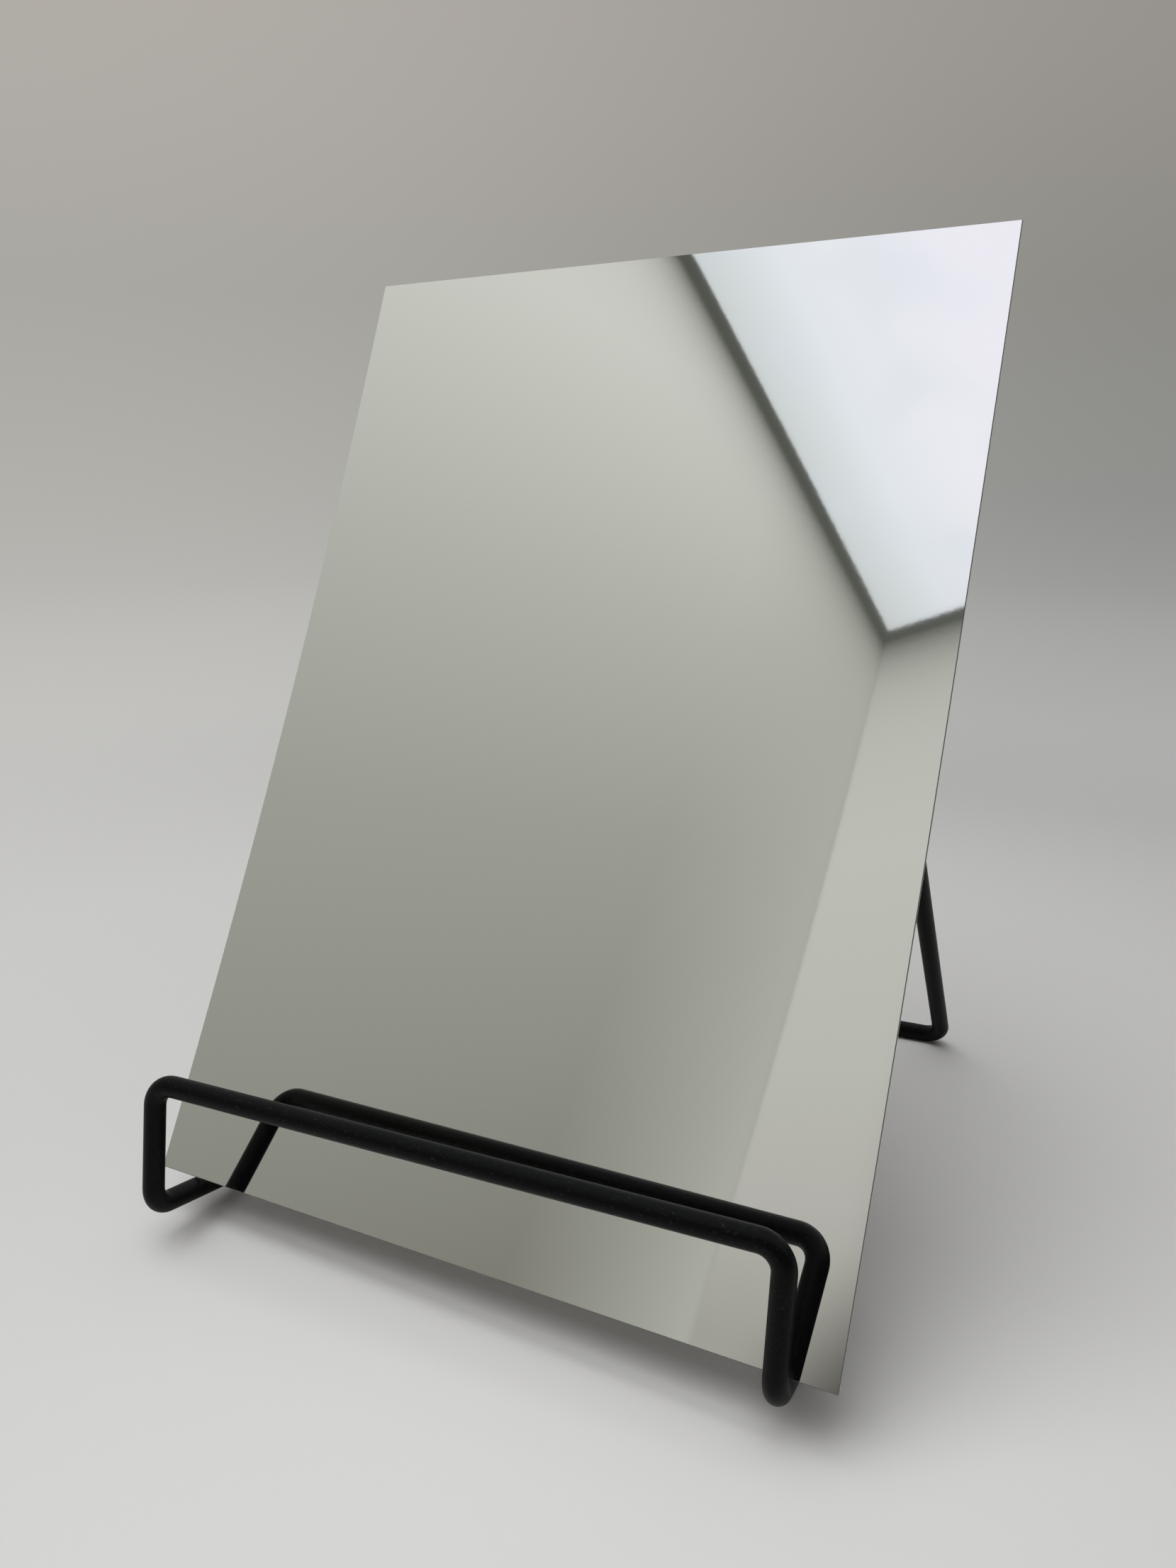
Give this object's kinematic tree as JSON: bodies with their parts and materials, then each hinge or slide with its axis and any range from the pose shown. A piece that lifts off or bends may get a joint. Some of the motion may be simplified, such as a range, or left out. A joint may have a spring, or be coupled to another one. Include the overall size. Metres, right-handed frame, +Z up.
{
  "type": "countertop mirror",
  "caption": "Thin bowed portrait mirror sheet standing in a black folding wire easel with a front lip, two seat wires and a hinged rear leg.",
  "frame": {"origin": "on the table, in the middle plane of the easel, right under the two foot bends of the front frame", "axes": "+Z up, +X to the right seen from the front, +Y from the front lip to the rear leg"},
  "size_m": [0.1508, 0.1619, 0.1987],
  "materials": {
    "coated_wire": "satin black powder coat on steel wire",
    "mirror_face": "bright silvered sheet",
    "backing": "pale grey matt plastic"
  },
  "bodies": {
    "easel": {"front_frame": "coated_wire", "stop_bar": "coated_wire"},
    "leg": {"rear_leg": "coated_wire"},
    "mirror": {"mirror_sheet": "mirror_face", "backing_sheet": "backing"}
  },
  "joints": [
    {"name": "leg_fold", "type": "hinge", "parent": "easel", "child": "leg", "pos_m": [0, 0.04846, 0.12248], "axis": [-1, 0, 0], "range_deg": [0, 50]},
    {"name": "mirror_lift", "type": "slide", "parent": "easel", "child": "mirror", "axis": [0.014, 0.442, 0.8969], "range_m": [0, 0.045]}
  ]
}
